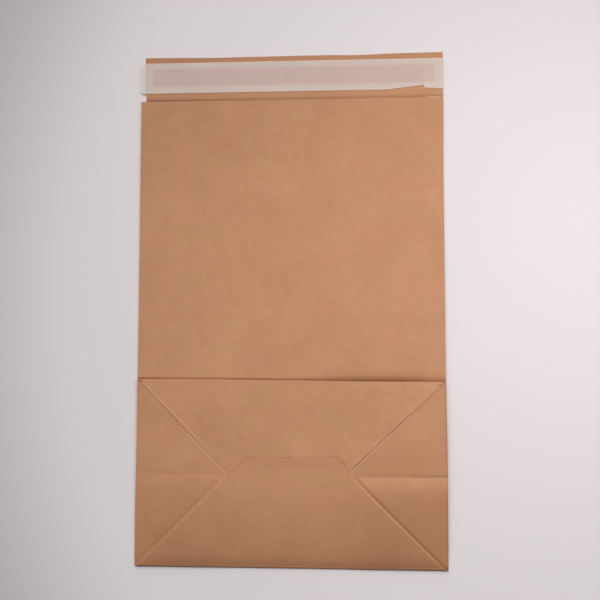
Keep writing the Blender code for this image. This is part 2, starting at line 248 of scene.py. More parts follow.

# Small darker spots painted on the block: layer, place, radius and how much darker
MARKS = (
    ("upper_flap", 2.2 * MM - SIDE, GUSSET_DEPTH - 1 * MM, 2.2 * MM, 0.3),
    ("upper_flap", SIDE - 3.5 * MM, GUSSET_DEPTH - 2 * MM, 1.4 * MM, 0.3),
    ("upper_flap", 65 * MM, 170 * MM, 1 * MM, 0.25),
    ("side_flap", SIDE, 0.5 * MM, 2.8 * MM, 0.45),
    ("side_flap", SIDE - 30.5 * MM, HALF_GUSSET + 1 * MM, 2.6 * MM, 0.09),
    ("side_flap", SIDE - 25 * MM, HALF_GUSSET + 3.6 * MM, 1.4 * MM, 0.07),
)

# Painted light and shade beside the block's folds: highlights along fold edges, shade where folds shadow the
# layers beside them and in the side flaps' creases, and light that thins the folds' shadows near the apexes.
# Each gives the layer that it is on, the line that it follows, how far past that line it lies, how broad it
# is, how much lighter it is on the left and on the right, and how far out from the bag's middle it begins and
# is whole
FOLD_SHADING_STRIPES = (
    # painted highlights along the upper and lower flaps' fold edges
    ("upper_flap", "upper", -1.4 * MM, 1.4 * MM, 0.12, 0.03, 70 * MM, 90 * MM),
    ("lower_flap", "lower", -0.6 * MM, 1.6 * MM, 0.06, 0, GUSSET_EDGE, PAST_APEX),
    ("lower_flap", "lower", -1.2 * MM, 0.9 * MM, 0, 0.16, 70 * MM, 84 * MM),
    # painted shade on the lower folds' rolls near the tips, below the cut there, and where the lower folds
    # shade the side flaps
    ("lower_fold", "lower", 0.1 * MM, 0.9 * MM, -0.18, -0.18, GUSSET_EDGE + 4 * MM, GUSSET_EDGE),
    ("below_cut", "drawn_lower", 1 * MM, 0.9 * MM, 0, -0.24, GUSSET_EDGE + 4 * MM, GUSSET_EDGE),
    ("side_flap", "drawn_lower", 3 * MM, 2.5 * MM, -0.05, 0, GUSSET_EDGE, PAST_APEX),
    ("side_flap", "drawn_lower", 0.9 * MM, 1.1 * MM, 0, -0.28, GUSSET_EDGE, PAST_APEX),
    # painted shade by the right shoulder's upper fold, and painted light that thins the upper folds' shadows
    # near the apexes
    ("side_flap", "drawn_upper", 0.8 * MM, 1 * MM, 0, -0.16, 115 * MM, 130 * MM),
    ("side_flap", "upper_shadow", 0.6 * MM, 1.3 * MM, 0.3, 0.35, 115 * MM, 75 * MM),
    # painted light and shade of the side flaps' crease valleys: lighter below, darker in and above the crease
    ("side_flap", "crease", -5 * MM, 4.5 * MM, 0.028, 0.08, GUSSET_EDGE, PAST_APEX),
    ("side_flap", "crease", 0.6 * MM, 1.4 * MM, -0.035, -0.1, GUSSET_EDGE, PAST_APEX),
    ("side_flap", "crease", 0.3 * MM, 0.7 * MM, 0, -0.16, 112 * MM, 120 * MM),
    ("side_flap", "crease", 18 * MM, 14 * MM, 0, -0.06, GUSSET_EDGE, PAST_APEX),
)


def swell(share):
    """0 to 1, levelling off as a bent sheet does."""
    return np.sin(np.clip(share, 0, 1) * np.pi / 2)


def ease(share):
    """0 to 1, smooth at both ends."""
    share = np.clip(share, 0, 1)
    return share * share * (3 - 2 * share)


def fade(place, start, stop):
    """0 before start and 1 past stop, smooth at both ends. With stop below start, it runs the other way."""
    return ease((place - start) / (stop - start))


def plateau(place, begins, whole, wanes, ends):
    """0 before it begins, 1 from where it is whole to where it wanes, and 0 past its end."""
    return fade(place, begins, whole) * fade(place, ends, wanes)


def stripe(distance, middle, reach):
    """1 at a distance of middle, fading both ways."""
    return np.exp(-(((distance - middle) / reach) ** 2))


def waves(x, y):
    """Gentle unevenness of hand-handled paper, about -1 to 1."""
    return (
        np.sin(x / (31 * MM) + 1.3 * np.sin(y / (67 * MM)))
        + np.sin(y / (43 * MM) + 0.8 * np.sin(x / (52 * MM)) + 2)
        + 0.6 * np.sin((x + y) / (23 * MM) + 1)
    ) / 2.6


def across(x, column):
    """A value of the table across the bag."""
    return np.interp(x, [row[0] for row in ACROSS], [row[column] for row in ACROSS])


def slanted(level, x, y):
    """How far a place lies below the level line for the slant of the block's top fold, and in which layers.

    The layers of the block are drawn down by it. Those below it stay, but rise and fall with the block.
    """
    below = across(x, SLANT) * fade(np.abs(y - GUSSET_DEPTH), SLANT_REACH, 0)
    in_block = np.clip(level - LEVEL["front"], 0, 1)
    return below, in_block


def beyond_upper(x, y):
    """Distance from the upper diagonal folds, towards the side flap."""
    return (np.abs(x) - SIDE - y + GUSSET_DEPTH) / math.sqrt(2)


def beyond_lower(x, y):
    """Distance from the lower diagonal folds, towards the side flap."""
    return (np.abs(x) - SIDE + y) / math.sqrt(2)


def inward(flap, x, y):
    """How far the diagonal folds of a flap lie inside their true lines."""
    up, on_left, on_right = INWARD[flap]
    return np.where(x < 0, np.interp(y, up, on_left), np.interp(y, up, on_right))


def near_apex(x):
    """1 at the apexes, where the diagonal folds meet, falling to 0 at the bag's edges."""
    return np.clip(1 - np.abs(np.abs(x) - GUSSET_EDGE) / HALF_GUSSET, 0, 1)


def beyond_crease(x, y):
    """Distance from the side flaps' middle creases, upwards."""
    left, right = CREASE_DROPS
    return y - HALF_GUSSET + np.where(x < 0, left, right)


def dip_reach(x):
    """How far in front of the block's top fold the front panel dips."""
    return DIP_REACH + DIP_FURTHER * fade(x, -20 * MM, 90 * MM)


def springs(x, y):
    """What the folds add to the gaps below some layers at a place, by the layer's name."""
    side = np.abs(x)
    past_tip = fade(side, FLAP_TIP, FLAP_TIP + DIAGONAL_RISE)
    upper = UPPER_SPRING * past_tip * stripe(beyond_upper(x, y), 0, DIAGONAL_REACH)
    lower = LOWER_SPRING * past_tip * stripe(beyond_lower(x, y), 0, DIAGONAL_REACH)
    fold = across(x, SPRING) * np.exp(-np.abs(y - GUSSET_DEPTH) / FOLD_REACH)
    dip = across(x, DIP) * stripe(y, GUSSET_DEPTH, dip_reach(x))
    cut = CUT_EDGE_SPRING * stripe(y, FLAP_LENGTH, CUT_EDGE_REACH)
    crease = beyond_crease(x, y)
    ridge = CREASE_RIDGE * (1 - np.exp(-np.abs(crease) / RIDGE_RUN)) * stripe(crease, 0, RIDGE_REACH)
    ridge *= fade(side, GUSSET_EDGE, GUSSET_EDGE + RIDGE_RISE) * np.where(x > 0, 1, LEFT_RIDGE)
    return {
        "front": -dip,
        "front_tuck": dip,
        "gusset_tuck": TUCK_SHARE * fold,
        "side_flap": (1 - TUCK_SHARE) * fold + ridge,
        "upper_corner": upper,
        "upper_flap": upper,
        "lower_corner": lower,
        "lower_flap": lower + cut,
    }


def floor_gap(x, y):
    """How far the back panel stands off the floor."""
    lip = LIP_RISE * fade(y, BODY_LENGTH, BODY_LENGTH + LIP_RISE_RUN)
    right = RIGHT_EDGE_RISE * fade(x, SIDE - RIGHT_EDGE_BAND, SIDE)
    return lip + right * plateau(y, *RIGHT_EDGE_RUN)


def openness(x, y):
    """How far the slack between the layers is open at a place."""
    edge = np.where(x < 0, LEFT_SLACK, RIGHT_SLACK)
    off_edge = swell((SIDE - np.abs(x)) / SIDE_RISE)
    rise = (1 - FOOT_SHARE) * swell(y / SLACK_RISE) + FOOT_SHARE * swell(y / FOOT_RISE)
    block = (edge + (1 - edge) * off_edge) * (1 + SKEW * x / SIDE) * rise
    upward = fade(y, GUSSET_DEPTH, BODY_LENGTH)
    return (block * (1 - upward) + across(x, MOUTH) * upward) * (1 + UNEVENNESS * waves(x, y))


def heights(level, x, y):
    """Height of each level of the stack at a place."""
    foot = 1 - swell(y / UPPER_FLAP_END)
    middle = fade(np.abs(x), 1.35 * GUSSET_EDGE, 0.75 * GUSSET_EDGE)
    opened = openness(x, y)
    sprung = springs(x, y)
    height = PAPER / 2 + floor_gap(x, y)
    for index, (name, foot_closing, middle_closing, slack) in enumerate(LAYERS[1:], 1):
        gap = PITCH * (1 - foot_closing * foot) * (1 - middle_closing * middle) + slack * opened
        gap = np.maximum(gap + sprung.get(name, 0), THINNEST_GAP)
        height += gap * np.clip(level - (index - 1), 0, 1)
    return height


def panel(sheet, layer, *corners):
    """One panel of the sheet, on its level."""
    sheet.faces.new([sheet.verts.new((x, y, LEVEL[layer] * PITCH)) for x, y in corners])


def crease(sheet, lower, upper, start, end, side=1, reach=0):
    """The half turn of paper between two levels. It bulges to the left of the way from start to end.

    On the left side, side is -1 and the outline is mirrored, so the way is turned round.
    """
    if side < 0:
        start, end = end, start
    low, high = LEVEL[lower] * PITCH, LEVEL[upper] * PITCH
    way = (Vector(end) - Vector(start)).normalized()
    out = Vector((-way.y, way.x, 0)) * (reach or (high - low) / 2)
    rows = []
    for step in range(FOLD_STEPS + 1):
        turn = math.pi * step / FOLD_STEPS
        up = Vector((0, 0, (low + high) / 2 - (high - low) / 2 * math.cos(turn)))
        shift = out * math.sin(turn) + up
        rows.append([sheet.verts.new(Vector((*place, 0)) + shift) for place in (start, end)])
    for (a, b), (d, c) in zip(rows, rows[1:]):
        sheet.faces.new((a, b, c, d))


def fold_body(sheet):
    """Back panel with its lip, seam flap, front panel and the strip of the front tucked under the block."""
    lip_left = (-SIDE + LIP_INSET_BASE, BODY_LENGTH)
    lip_right = (SIDE, BODY_LENGTH)
    panel(sheet, "back", (-SIDE, 0), (SIDE, 0), lip_right, lip_left, (-SIDE, BODY_LENGTH))
    panel(sheet, "back", lip_left, lip_right, (SIDE, LIP_END), (-SIDE + LIP_INSET_END, LIP_END))
    seam_flap_ends = ((SEAM_FLAP_EDGE, LIP_END), (SEAM_FLAP_EDGE, 0))
    panel(sheet, "seam_flap", (SIDE, 0), lip_right, (SIDE, LIP_END), *seam_flap_ends)
    front = ((-SIDE, HALF_GUSSET), (SIDE, HALF_GUSSET))
    panel(sheet, "front", *front, lip_right, (-SIDE, BODY_LENGTH))
    panel(sheet, "front_tuck", *front, (SIDE, GUSSET_DEPTH), (-SIDE, GUSSET_DEPTH))
    crease(sheet, "front", "front_tuck", front[1], front[0])


def fold_gusset(sheet, side):
    """One gusset and its tucks under the block bottom. side is 1 on the right and -1 on the left."""
    outer = side * SIDE
    inner = side * GUSSET_EDGE
    foot = (outer, 0)
    waist = (outer, HALF_GUSSET)
    shoulder = (outer, GUSSET_DEPTH)
    top = (outer, BODY_LENGTH)
    apex = (inner, HALF_GUSSET)
    inner_top = (inner, BODY_LENGTH)

    panel(sheet, "gusset_back", foot, top, inner_top, apex)
    panel(sheet, "gusset_front", waist, top, inner_top, apex)
    panel(sheet, "gusset_tuck", shoulder, waist, apex)
    panel(sheet, "side_tuck", foot, shoulder, apex)

    crease(sheet, "seam_flap" if side > 0 else "back", "gusset_back", top, foot, side)
    crease(sheet, "gusset_back", "gusset_front", apex, inner_top, side)
    crease(sheet, "gusset_front", "front", top, waist, side)
    crease(sheet, "gusset_front", "gusset_tuck", waist, apex, side)
    crease(sheet, "gusset_back", "side_tuck", foot, apex, side)
    crease(sheet, "gusset_tuck", "side_tuck", apex, shoulder, side)
    crease(sheet, "front_tuck", "gusset_tuck", shoulder, waist, side)
    crease(sheet, "side_tuck", "side_flap", shoulder, foot, side)


def fold_side_flap(sheet, side):
    """One short bottom flap, and the two corners that the long flaps tuck over it."""
    outer = side * SIDE
    inner = side * FLAP_TIP
    foot = (outer, 0)
    shoulder = (outer, GUSSET_DEPTH)
    inner_foot = (inner, 0)
    inner_shoulder = (inner, GUSSET_DEPTH)
    upper_tip = (inner, UPPER_FLAP_END)
    lower_tip = (inner, FLAP_LENGTH)

    panel(sheet, "side_flap", foot, shoulder, inner_shoulder, inner_foot)
    panel(sheet, "upper_corner", shoulder, inner_shoulder, upper_tip)
    panel(sheet, "lower_corner", foot, inner_foot, lower_tip)

    crease(sheet, "side_flap", "upper_corner", inner_shoulder, shoulder, side)
    crease(sheet, "upper_corner", "upper_flap", shoulder, upper_tip, side)
    crease(sheet, "side_flap", "lower_corner", foot, inner_foot, side)
    crease(sheet, "lower_corner", "lower_flap", lower_tip, foot, side)


def fold_long_flaps(sheet):
    """The two long bottom flaps: the upper one from the front panel, the lower one from the back."""
    shoulders = ((-SIDE, GUSSET_DEPTH), (SIDE, GUSSET_DEPTH))
    feet = ((-SIDE, 0), (SIDE, 0))
    panel(sheet, "upper_flap", *shoulders, (FLAP_TIP, UPPER_FLAP_END), (-FLAP_TIP, UPPER_FLAP_END))
    panel(sheet, "lower_flap", *feet, (FLAP_TIP, FLAP_LENGTH), (-FLAP_TIP, FLAP_LENGTH))
    crease(sheet, "front_tuck", "upper_flap", *shoulders)
    crease(sheet, "back", "lower_flap", feet[1], feet[0], reach=BOTTOM_FOLD_REACH)


def cut_across(surface, normal, places, lowest=0):
    """Edges across a surface at the given places along normal, so that it can bend there.

    Only the layers from the lowest level up are cut.
    """
    for place in places:
        faces = [
            face for face in surface.faces if min(point.co.z for point in face.verts) > (lowest - 0.5) * PITCH
        ]
        edges = {edge for face in faces for edge in face.edges}
        points = {point for face in faces for point in face.verts}
        geom = [*points, *edges, *faces]
        bmesh.ops.bisect_plane(surface, geom=geom, dist=MERGE, plane_co=normal * place, plane_no=normal)


def close_lines(places):
    """Places close beside each of the given ones."""
    return [place + sign * gap for place in places for gap in CLOSE_GAPS for sign in (-1, 1)]


def grid_lines(low, high, near):
    """Even places from low to high, and closer ones beside each place in near."""
    count = round((high - low) / GRID)
    return [low + (high - low) * (index + 0.5) / count for index in range(count)] + close_lines(near)


def add_object(name, data):
    """A new object in the scene, with its data."""
    added = bpy.data.objects.new(name, data)
    bpy.context.scene.collection.objects.link(added)
    return added


def mesh_object(name, surface, thickness, material):
    """A sheet of a thickness from an open surface in the sheet's coordinates."""
    bmesh.ops.recalc_face_normals(surface, faces=surface.faces[:])
    mesh = bpy.data.meshes.new(name)
    surface.to_mesh(mesh)
    surface.free()
    mesh.materials.append(material)
    thin = add_object(name, mesh)
    solidify = thin.modifiers.new("thickness", "SOLIDIFY")
    solidify.thickness = thickness
    solidify.offset = 0
    bpy.context.view_layer.update()
    solid = bpy.data.meshes.new_from_object(thin.evaluated_get(bpy.context.evaluated_depsgraph_get()))
    thin.modifiers.clear()
    thin.data = solid
    bpy.data.meshes.remove(mesh)
    solid.name = name
    solid.shade_smooth()
    solid.set_sharp_from_angle(angle=math.radians(SHARP_ANGLE))
    return thin


def layer_shares(level, y):
    """How much of a place is on each layer, by its name, and on two parts of the flaps."""
    shares = {name: np.clip(1 - 2 * np.abs(level - index), 0, 1) for name, index in LEVEL.items()}
    shares["lower_fold"] = level > LEVEL["lower_corner"] - 0.1
    shares["below_cut"] = shares["upper_flap"] * fade(y, FLAP_LENGTH, FLAP_LENGTH - 4 * MM)
    return shares


def fold_shading_tones(on, x, y):
    """How much lighter the sheet is painted for the light and shade beside the block's folds."""
    upper, lower = beyond_upper(x, y), beyond_lower(x, y)
    drawn_upper = upper + inward("upper_flap", x, y) / math.sqrt(2)
    left_shift, right_shift = SHADOW_SHIFTS
    lines = {
        "upper": upper,
        "lower": lower,
        "drawn_upper": drawn_upper,
        "drawn_lower": lower + inward("lower_flap", x, y) / math.sqrt(2),
        "upper_shadow": drawn_upper + near_apex(x) * np.where(x > 0, right_shift, left_shift),
        "crease": beyond_crease(x, y),
    }
    total = np.zeros_like(x)
    for layer, line, past, reach, on_left, on_right, start, whole in FOLD_SHADING_STRIPES:
        lighter = np.where(x > 0, on_right, on_left) * fade(np.abs(x), start, whole)
        total += on[layer] * lighter * stripe(lines[line], past, reach)
    return total


def top_fold_tones(on, level, x, y):
    """How much lighter the sheet is by the block's top fold: painted shade in it and before it, painted
    highlight and light on the flap.
    """
    below, in_block = slanted(level, x, y)
    past = y + below * (1 - in_block) - GUSSET_DEPTH
    on_right = fade(x, -10 * MM, 100 * MM)
    # painted shade in the fold and on the front panel in front of it
    in_fold = (TOP_FOLD_DULL - TOP_FOLD_CLEARER * on_right) * stripe(past, 0.6 * MM, 0.6 * MM)
    in_front = across(x, FOLD_DULL) * stripe(past, 0.8 * MM, (0.9 + 1.1 * on_right) * MM)
    in_front += TOP_FRONT_DULL * on_right * stripe(past, 2.5 * MM, 3 * MM)
    # painted highlight beside the fold on the right, and painted light along the block's top
    flap_light = TOP_FOLD_HIGHLIGHT * on_right * stripe(past, -3 * MM, 1.8 * MM)
    flap_light += BLOCK_TOP_LIGHT * stripe(past, -12 * MM, 14 * MM)
    return on["upper_flap"] * flap_light - on["front"] * in_front - (level > LEVEL["front"] + 0.5) * in_fold


def edge_dullness(on, level, x, y):
    """How much duller the sheet is: painted shade along the block's right edge, at its bottom fold and past
    the front panel's top edge, painted shadow in front of its cut edges, and darker on the lip above the
    liner.
    """
    # painted shade along the block's right edge
    block_edge = (x > 0) * (level > LEVEL["side_tuck"]) * stripe(x, SIDE, 1.4 * MM)
    block_edge *= plateau(y, 0, 20 * MM, GUSSET_DEPTH - 4 * MM, GUSSET_DEPTH + 4 * MM)
    # painted shadow in front of the lower flap's cut edge
    cut = on["upper_flap"] * stripe(y, FLAP_LENGTH + 0.5 * MM, 0.8 * MM)
    cut *= (x > -FLAP_TIP) * (x < FLAP_TIP + 4 * MM)
    # painted shade at the bottom fold
    foot = on["lower_flap"] * fade(y, 9 * MM, 1 * MM)
    # painted shadow of the front panel's top edge on the lip
    mouth = on["back"] * across(x, MOUTH_DULL) * stripe(y, BODY_LENGTH + 0.6 * MM, 0.9 * MM)
    lip = (on["back"] + on["seam_flap"]) * fade(y, LINER_TOP - 1 * MM, LINER_TOP + 1 * MM)
    lip *= 1 - 0.4 * x / SIDE
    return BLOCK_EDGE_DULL * block_edge + CUT_DULL * cut + FOOT_DULL * foot + mouth + LIP_DULL * lip


def broad_tones(on, x, y):
    """How much lighter the sheet's broad areas are: above the block, above the cut and below a crease."""
    above_block = ABOVE_BLOCK_LIGHT * stripe(x, -65 * MM, 45 * MM) * stripe(y, 190 * MM, 40 * MM)
    above_cut = ABOVE_CUT_LIGHT * plateau(x, 0, 6 * MM, 38 * MM, 46 * MM) * stripe(y, FLAP_LENGTH, 30 * MM)
    outside = fade(np.abs(x), GUSSET_EDGE, PAST_APEX)
    below_crease = BELOW_CREASE_DULL * outside * fade(beyond_crease(x, y), 0, -25 * MM)
    return above_block + on["upper_flap"] * above_cut - on["side_flap"] * below_crease


def darkening(x, y):
    """Share of its lightness that the sheet loses to painted shade towards the foot, the mouth and the lower
    right corner.
    """
    foot = FOOT_DARKER * fade(y, 70 * MM, 0)
    mouth = MOUTH_DARKER * fade(y, 330 * MM, 460 * MM) * (0.6 - 0.5 * x / SIDE)
    corner = CORNER_DARKER * fade(x, 40 * MM, 100 * MM) * fade(y, 110 * MM, 20 * MM)
    return foot + mouth + corner


def tones(level, x, y):
    """How light the sheet is at a place, beside plain kraft, with the painted light and shade of its folds
    and edges.
    """
    on = layer_shares(level, y)
    tone = 1 + fold_shading_tones(on, x, y) + top_fold_tones(on, level, x, y) + broad_tones(on, x, y)
    return (tone - edge_dullness(on, level, x, y)) * (1 - darkening(x, y))


def remember_places(surface):
    """Keep each point's place on the sheet, with its level, for the paper's pattern, and its tone, which
    carries the painted light and shade.
    """
    places = np.array([point.co for point in surface.verts])
    sheet_place = surface.verts.layers.float_vector.new("sheet")
    sheet_tone = surface.verts.layers.float.new("tone")
    shades = tones(places[:, 2] / PITCH, places[:, 0], places[:, 1])
    for point, shade in zip(surface.verts, shades):
        point[sheet_place] = point.co
        point[sheet_tone] = shade


def apex_share(level, x, y):
    """The share of the apex shifts that moves a place of the block's corners and long flaps."""
    up_and_down = plateau(y, 0, APEX_FADE, GUSSET_DEPTH - APEX_FADE, GUSSET_DEPTH)
    return near_apex(x) * np.clip(level - LEVEL["side_flap"], 0, 1) * up_and_down


def sideways_shift(level, x, y):
    """How far right of its place on the sheet a point is drawn."""
    left, right = APEX_SHIFTS
    shift = np.where(x < 0, left[0], right[0]) * apex_share(level, x, y)
    for flap, beyond in (("upper_flap", beyond_upper(x, y)), ("lower_flap", beyond_lower(x, y))):
        begins, whole = (INWARD[flap][0][0] - below for below in INWARD_START)
        in_flap = np.clip(1.5 - np.abs(level - LEVEL[flap] + 0.5), 0, 1) * fade(y, begins, whole)
        shift -= np.sign(x) * inward(flap, x, y) * in_flap * fade(beyond, -INWARD_REACH, 0)
    shift -= FOOT_SPREAD * fade(-x, SIDE - EDGE_BAND, SIDE) * fade(y, FOOT_SPREAD_END, 0)
    return shift - WAIST_DRAW * fade(x, SIDE - EDGE_BAND, SIDE) * plateau(y, *WAIST)


def upward_shift(level, x, y):
    """How far up the bag from its place on the sheet a point is drawn."""
    left, right = APEX_SHIFTS
    below, in_block = slanted(level, x, y)
    on_front = np.clip(1 - np.abs(level - LEVEL["front"]), 0, 1)
    on_lower = np.clip(level - LEVEL["lower_corner"], 0, 1)
    shift = np.where(x < 0, left[1], right[1]) * apex_share(level, x, y)
    shift -= below * in_block
    shift -= across(x, LIP_SHORT) * fade(y, LIP_END - LIP_EDGE_REACH, LIP_END)
    shift -= across(x, FRONT_SHORT) * on_front * fade(y, BODY_LENGTH - FRONT_EDGE_REACH, BODY_LENGTH)
    return shift - CUT_SHORT * on_lower * fade(y, FLAP_LENGTH - CUT_REACH, FLAP_LENGTH)


def settle(surface):
    """Turn the levels of a surface into heights, and move it into the part's frame."""
    places = np.array([point.co for point in surface.verts])
    x, y, level = places[:, 0], places[:, 1], places[:, 2] / PITCH
    below, in_block = slanted(level, x, y)
    z = heights(level, x, y + below * (1 - in_block))
    drawn_x = x + sideways_shift(level, x, y)
    drawn_y = y + upward_shift(level, x, y)
    for point, *place in zip(surface.verts, drawn_x, drawn_y, z):
        point.co = place
    bmesh.ops.translate(surface, vec=-CENTRE, verts=surface.verts[:])


def make_paper_bag(material):
    sheet = bmesh.new()
    fold_body(sheet)
    for side in (1, -1):
        fold_gusset(sheet, side)
        fold_side_flap(sheet, side)
    fold_long_flaps(sheet)
    bmesh.ops.remove_doubles(sheet, verts=sheet.verts[:], dist=MERGE)
    for side in (-1, 1):
        for slope in (-1, 1):
            start = SIDE if slope > 0 else SIDE - GUSSET_DEPTH
            places = [start / math.sqrt(2) + gap for gap in DIAGONAL_GAPS]
            cut_across(sheet, Vector((side, slope, 0)).normalized(), places, LEVEL["side_flap"])
    cut_across(sheet, Vector((0, 1, 0)), close_lines((HALF_GUSSET, FLAP_LENGTH)), LEVEL["side_flap"])
    cut_across(sheet, Vector((0, 1, 0)), grid_lines(0, LIP_END, (0, GUSSET_DEPTH, BODY_LENGTH)))
    cut_across(sheet, Vector((1, 0, 0)), grid_lines(-SIDE, SIDE, (-SIDE, SIDE)))
    remember_places(sheet)
    settle(sheet)
    return mesh_object("kraft_sheet", sheet, PAPER, material)


def lip_surface(x, y):
    """Height of the lip's inner face, which climbs from the back panel on to the seam flap."""
    return PAPER + PITCH * fade(x, SEAM_FLAP_EDGE - STEP_RUN, SEAM_FLAP_EDGE) + floor_gap(x, y)


def strip(name, outline, lift, thickness, material):
    """A thin strip laid over the lip, lift above its inner face."""
    surface = bmesh.new()
    surface.faces.new([surface.verts.new((x, y, 0)) for x, y in outline])
    xs, ys = zip(*outline)
    cut_across(surface, Vector((1, 0, 0)), grid_lines(min(xs), max(xs), (SEAM_FLAP_EDGE,)))
    cut_across(surface, Vector((0, 1, 0)), grid_lines(min(ys), max(ys), ()))
    remember_places(surface)
    for point in surface.verts:
        point.co.z = float(lip_surface(point.co.x, point.co.y)) + lift + thickness / 2
    bmesh.ops.translate(surface, vec=-CENTRE, verts=surface.verts[:])
    return mesh_object(name, surface, thickness, material)


def rounded_corner(x, y, start, radius):
    """Points round a quarter circle of the given corner, from the start angle in degrees."""
    angles = [math.radians(start + 90 * step / 4) for step in range(5)]
    return [(x + radius * math.cos(angle), y + radius * math.sin(angle)) for angle in angles]


def make_liner(material):
    inner_left = LINER_LEFT + LINER_CORNER
    outline = rounded_corner(inner_left, LINER_TOP - LINER_CORNER, 90, LINER_CORNER)
    outline += rounded_corner(inner_left, LINER_BOTTOM + LINER_CORNER, 180, LINER_CORNER)
    outline += [
        (SEAM_FLAP_EDGE - TEAR_LENGTH, LINER_BOTTOM),
        (SEAM_FLAP_EDGE, LINER_BOTTOM + TEAR_HEIGHT),
        (SEAM_FLAP_EDGE + 0.4 * MM, LINER_BOTTOM + 0.3 * TEAR_HEIGHT),
        (LINER_RIGHT, LINER_BOTTOM),
        (LINER_RIGHT, LINER_TOP),
    ]
    lift = 2 * CLEARANCE + ADHESIVE_THICKNESS
    return strip("liner", outline, lift, LINER_THICKNESS, material)


def make_adhesive(material):
    outline = (
        (ADHESIVE_LEFT, ADHESIVE_BOTTOM),
        (ADHESIVE_RIGHT, ADHESIVE_BOTTOM),
        (ADHESIVE_RIGHT, ADHESIVE_TOP),
        (ADHESIVE_LEFT, ADHESIVE_TOP),
    )
    return strip("adhesive_film", outline, CLEARANCE, ADHESIVE_THICKNESS, material)


def glue_film(name, left, right, bottom, top, level, material):
    """A thin film of glue between two layers, at a level half-way between them."""
    surface = bmesh.new()
    corners = ((left, bottom), (right, bottom), (right, top), (left, top))
    surface.faces.new([surface.verts.new((x, y, level * PITCH)) for x, y in corners])
    cut_across(surface, Vector((1, 0, 0)), grid_lines(left, right, ()))
    cut_across(surface, Vector((0, 1, 0)), grid_lines(bottom, top, ()))
    remember_places(surface)
    settle(surface)
    return mesh_object(name, surface, GLUE_FILM, material)


def new_material(name):
    material = bpy.data.materials.new(name)
    material.use_nodes = True
    return material, material.node_tree


def math_node(tree, operation, first, second, third=None):
    """A Math node whose inputs are sockets or numbers, and its result."""
    node = tree.nodes.new("ShaderNodeMath")
    node.operation = operation
    for socket, value in zip(node.inputs, (first, second, third)):
        if isinstance(value, bpy.types.NodeSocket):
            tree.links.new(value, socket)
        elif value is not None:
            socket.default_value = value
    return node.outputs["Value"]


def vector_node(tree, operation, first, second):
    """A Vector Math node of a socket, and of a socket or three numbers, and its result."""
    node = tree.nodes.new("ShaderNodeVectorMath")
    node.operation = operation
    tree.links.new(first, node.inputs[0])
    if isinstance(second, bpy.types.NodeSocket):
        tree.links.new(second, node.inputs[1])
    else:
        node.inputs[1].default_value = second
    return node.outputs["Vector"]


def sheet_places(tree, stretch):
    """The place on the sheet, with its level as the third way, stretched by a factor each way."""
    place = tree.nodes.new("ShaderNodeAttribute")
    place.attribute_name = "sheet"
    return vector_node(tree, "MULTIPLY", place.outputs["Vector"], stretch)


def noise(tree, vector, size, detail, roughness):
    """A noise of blotches of about the given size, 0 to 1."""
    node = tree.nodes.new("ShaderNodeTexNoise")
    node.inputs["Scale"].default_value = 1 / size
    node.inputs["Detail"].default_value = detail
    node.inputs["Roughness"].default_value = roughness
    tree.links.new(vector, node.inputs["Vector"])
    return node.outputs["Fac"]


def specks(tree, vector, spacing, size, share):
    """1 in small round specks of about the given size, in a share of the cells of the given spacing."""
    cells = tree.nodes.new("ShaderNodeTexVoronoi")
    cells.inputs["Scale"].default_value = 1 / spacing
    tree.links.new(vector, cells.inputs["Vector"])
    apart = tree.nodes.new("ShaderNodeSeparateColor")
    tree.links.new(cells.outputs["Color"], apart.inputs["Color"])
    chosen = math_node(tree, "LESS_THAN", apart.outputs["Red"], share)
    radius = math_node(tree, "MULTIPLY", apart.outputs["Green"], size / spacing)
    inside = math_node(tree, "SUBTRACT", radius, cells.outputs["Distance"])
    inside = math_node(tree, "MULTIPLY", inside, 3 * spacing / size)
    inside = math_node(tree, "MAXIMUM", inside, 0)
    inside = math_node(tree, "MINIMUM", inside, 1)
    return math_node(tree, "MULTIPLY", inside, chosen)


def scaled_colour(tree, colour, factor):
    """A colour socket times a number socket."""
    node = tree.nodes.new("ShaderNodeVectorMath")
    node.operation = "SCALE"
    tree.links.new(colour, node.inputs[0])
    tree.links.new(factor, node.inputs["Scale"])
    return node.outputs["Vector"]


def blotches(tree, layers):
    """A sum of noises about 0, from their vector, size, detail, roughness and amount."""
    total = 0
    for vector, size, detail, roughness, amount in layers:
        shift = math_node(tree, "SUBTRACT", noise(tree, vector, size, detail, roughness), 0.5)
        total = math_node(tree, "MULTIPLY_ADD", shift, amount, total)
    return total


def colour_ramp(tree, factor, stops):
    """The colour for a factor, between stops of a position and a colour."""
    ramp = tree.nodes.new("ShaderNodeValToRGB")
    elements = ramp.color_ramp.elements
    while len(elements) < len(stops):
        elements.new(0.5)
    for element, (position, colour) in zip(elements, stops):
        element.position = position
        element.color = (*colour, 1)
    tree.links.new(factor, ramp.inputs["Fac"])
    return ramp.outputs["Color"]


def bump(tree, shader, height, strength, distance):
    node = tree.nodes.new("ShaderNodeBump")
    node.inputs["Strength"].default_value = strength
    node.inputs["Distance"].default_value = distance
    tree.links.new(height, node.inputs["Height"])
    tree.links.new(node.outputs["Normal"], shader.inputs["Normal"])


def soft_band(tree, place, low, high, blur):
    """1 where a coordinate lies between low and high, blurred at both ends."""
    ends = []
    for start, stop in ((low - blur, low + blur), (high + blur, high - blur)):
        end = tree.nodes.new("ShaderNodeMapRange")
        end.interpolation_type = "SMOOTHSTEP"
        end.inputs["From Min"].default_value = start
        end.inputs["From Max"].default_value = stop
        tree.links.new(place, end.inputs["Value"])
        ends.append(end.outputs["Result"])
    return math_node(tree, "MULTIPLY", *ends)


